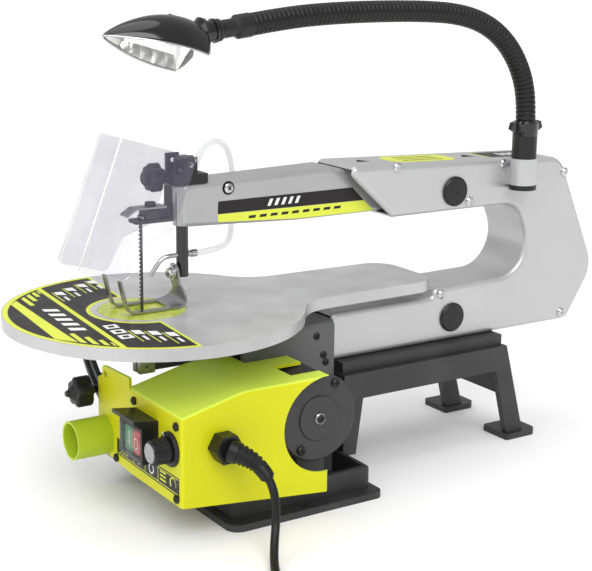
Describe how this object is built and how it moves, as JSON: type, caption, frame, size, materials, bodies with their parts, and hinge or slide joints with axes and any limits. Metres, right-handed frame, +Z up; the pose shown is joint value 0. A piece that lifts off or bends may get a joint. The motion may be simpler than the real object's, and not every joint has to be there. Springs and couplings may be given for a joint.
{
  "type": "scroll saw",
  "caption": "Bench scroll saw: C-shaped arm housing over a tilting table, motor under a green cover, clear blade guard, air blower and gooseneck lamp.",
  "frame": {"origin": "on the bench, under the middle of the saw's length and of its table's width", "axes": "+X from the user towards the rear column, +Z up, the motor side is -Y"},
  "size_m": [0.6013, 0.482, 0.4227],
  "materials": {
    "cast_black": "textured powder coat",
    "silver_paint": "satin",
    "table_metal": "ground",
    "lime": "satin",
    "lime_plastic": "satin",
    "insert_plastic": "translucent",
    "dark_metal": "satin",
    "black_plastic": "satin",
    "black_gloss": "gloss",
    "steel": "satin",
    "chrome": "polished",
    "brass": "plain",
    "rubber": "satin",
    "clear": "clear sheet",
    "red_plastic": "satin",
    "green_plastic": "satin",
    "board": "coated"
  },
  "bodies": {
    "frame": {"base_casting": "cast_black", "housing_near": "silver_paint", "housing_far": "silver_paint", "arm_casting": "silver_paint", "housing_screws": "chrome", "pivot_pins": "steel", "pivot_caps": "black_plastic", "bellows": "rubber", "drive_housing": "dark_metal", "motor_body": "dark_metal", "motor_cover": "black_plastic", "control_cover": "lime", "dust_port": "lime_plastic", "switch_body": "black_plastic", "dial_skirt": "black_plastic", "control_board": "board", "cable_gland": "rubber", "cord_boot": "rubber", "power_cord": "rubber", "cord_coil": "rubber", "plug": "rubber", "nose_bracket": "black_plastic", "air_hose": "clear", "lamp_socket": "silver_paint", "tilt_bracket": "dark_metal", "cover_screws": "chrome"},
    "lower_arm": {"lower_rocker": "table_metal", "lower_holder": "steel"},
    "upper_arm": {"upper_rocker": "table_metal", "upper_holder": "dark_metal"},
    "rear_rod": {"tension_rod": "steel"},
    "saw_blade": {"blade": "steel"},
    "drive_rod": {"connecting_rod": "table_metal"},
    "shaft": {"motor_shaft": "steel", "motor_fan": "black_plastic", "eccentric": "steel"},
    "table": {"table_plate": "table_metal", "table_insert": "insert_plastic", "trunnion": "dark_metal"},
    "tilt_lock": {"tilt_knob": "black_plastic"},
    "speed_dial": {"speed_knob": "black_plastic"},
    "on_key": {"button_on": "green_plastic"},
    "off_key": {"button_off": "red_plastic"},
    "guard": {"guard_panel": "clear"},
    "holddown_lock": {"lock_knob": "black_plastic"},
    "tensioner": {"tension_knob": "black_plastic"},
    "clamp": {"clamp_lever": "steel", "clamp_screw": "black_plastic"},
    "holddown": {"holddown_post": "rubber", "blower_tube": "chrome", "foot_screw": "steel"},
    "foot": {"presser_foot": "steel"},
    "lamp_arm": {"lamp_sleeve": "black_plastic", "gooseneck": "rubber", "lamp_neck": "black_plastic"},
    "lamp_head": {"lamp_shell": "black_gloss", "reflector": "chrome", "bulb": "clear", "lens": "clear"},
    "lamp_key": {"lamp_switch": "black_plastic"}
  },
  "joints": [
    {"name": "lower_arm_rock", "type": "hinge", "parent": "frame", "child": "lower_arm", "pos_m": [0.1216, 0, 0.1282], "axis": [0, 1, 0], "range_deg": [-1.4, 1.4]},
    {"name": "upper_arm_rock", "type": "hinge", "parent": "frame", "child": "upper_arm", "pos_m": [0.1196, 0, 0.2485], "axis": [0, 1, 0], "range_deg": [-1.4, 1.4]},
    {"name": "blade_pivot", "type": "hinge", "parent": "lower_arm", "child": "saw_blade", "pos_m": [-0.186, 0, 0.121], "axis": [0, 1, 0], "range_deg": [-1.4, 1.4]},
    {"name": "rear_rod_pivot", "type": "hinge", "parent": "lower_arm", "child": "rear_rod", "pos_m": [0.247, 0, 0.1282], "axis": [0, 1, 0], "range_deg": [-1.4, 1.4]},
    {"name": "drive_rod_pivot", "type": "hinge", "parent": "lower_arm", "child": "drive_rod", "pos_m": [-0.066, 0, 0.1225], "axis": [0, 1, 0], "range_deg": [-1.4, 1.4]},
    {"name": "motor_spin", "type": "hinge", "parent": "frame", "child": "shaft", "pos_m": [-0.07, 0, 0.081], "axis": [0, 1, 0], "continuous": true},
    {"name": "table_tilt", "type": "hinge", "parent": "frame", "child": "table", "pos_m": [0, 0, 0.17], "axis": [1, 0, 0], "range_deg": [-45, 0]},
    {"name": "foot_tilt", "type": "hinge", "parent": "holddown", "child": "foot", "pos_m": [0, 0, 0.17], "axis": [1, 0, 0], "range_deg": [-45, 0]},
    {"name": "holddown_slide", "type": "slide", "parent": "frame", "child": "holddown", "axis": [0, 0, 1], "range_m": [0, 0.018]},
    {"name": "tilt_lock_turn", "type": "hinge", "parent": "frame", "child": "tilt_lock", "pos_m": [-0.2, 0.05337, 0.08781], "axis": [1, 0, 0], "continuous": true},
    {"name": "speed_turn", "type": "hinge", "parent": "frame", "child": "speed_dial", "pos_m": [-0.21, -0.089, 0.078], "axis": [-1, 0, 0], "range_deg": [0, 270]},
    {"name": "on_press", "type": "slide", "parent": "frame", "child": "on_key", "axis": [1, 0, 0], "range_m": [0, 0.003], "stiffness_N_per_m": 300},
    {"name": "off_press", "type": "slide", "parent": "frame", "child": "off_key", "axis": [1, 0, 0], "range_m": [0, 0.003], "stiffness_N_per_m": 300},
    {"name": "guard_lift", "type": "hinge", "parent": "frame", "child": "guard", "pos_m": [-0.148, 0, 0.291], "axis": [0, 1, 0], "range_deg": [0, 65]},
    {"name": "holddown_lock_turn", "type": "hinge", "parent": "frame", "child": "holddown_lock", "pos_m": [-0.17, 0.003, 0.2795], "axis": [1, 0, 0], "continuous": true},
    {"name": "tensioner_turn", "type": "hinge", "parent": "frame", "child": "tensioner", "pos_m": [-0.142, 0.005, 0.286], "axis": [0, 0, 1], "continuous": true},
    {"name": "clamp_turn", "type": "hinge", "parent": "upper_arm", "child": "clamp", "pos_m": [-0.177, 0, 0.256], "axis": [0, 0, 1], "range_deg": [-25, 25]},
    {"name": "lamp_swivel", "type": "hinge", "parent": "frame", "child": "lamp_arm", "pos_m": [0.191, -0.046, 0.262], "axis": [0, 0, 1], "range_deg": [-90, 90]},
    {"name": "lamp_head_turn", "type": "hinge", "parent": "lamp_arm", "child": "lamp_head", "pos_m": [-0.141, -0.046, 0.4012], "axis": [0.9925, 0, 0.1219], "range_deg": [-60, 60]},
    {"name": "lamp_key_press", "type": "slide", "parent": "lamp_head", "child": "lamp_key", "axis": [0.2718, 0.342, 0.8995], "range_m": [-0.0015, 0], "stiffness_N_per_m": 200}
  ],
  "couplings": [
    {"joint": "upper_arm_rock", "follows": "lower_arm_rock", "ratio": 1},
    {"joint": "blade_pivot", "follows": "lower_arm_rock", "ratio": -1},
    {"joint": "rear_rod_pivot", "follows": "lower_arm_rock", "ratio": -1},
    {"joint": "drive_rod_pivot", "follows": "lower_arm_rock", "ratio": -1},
    {"joint": "foot_tilt", "follows": "table_tilt", "ratio": 1}
  ]
}
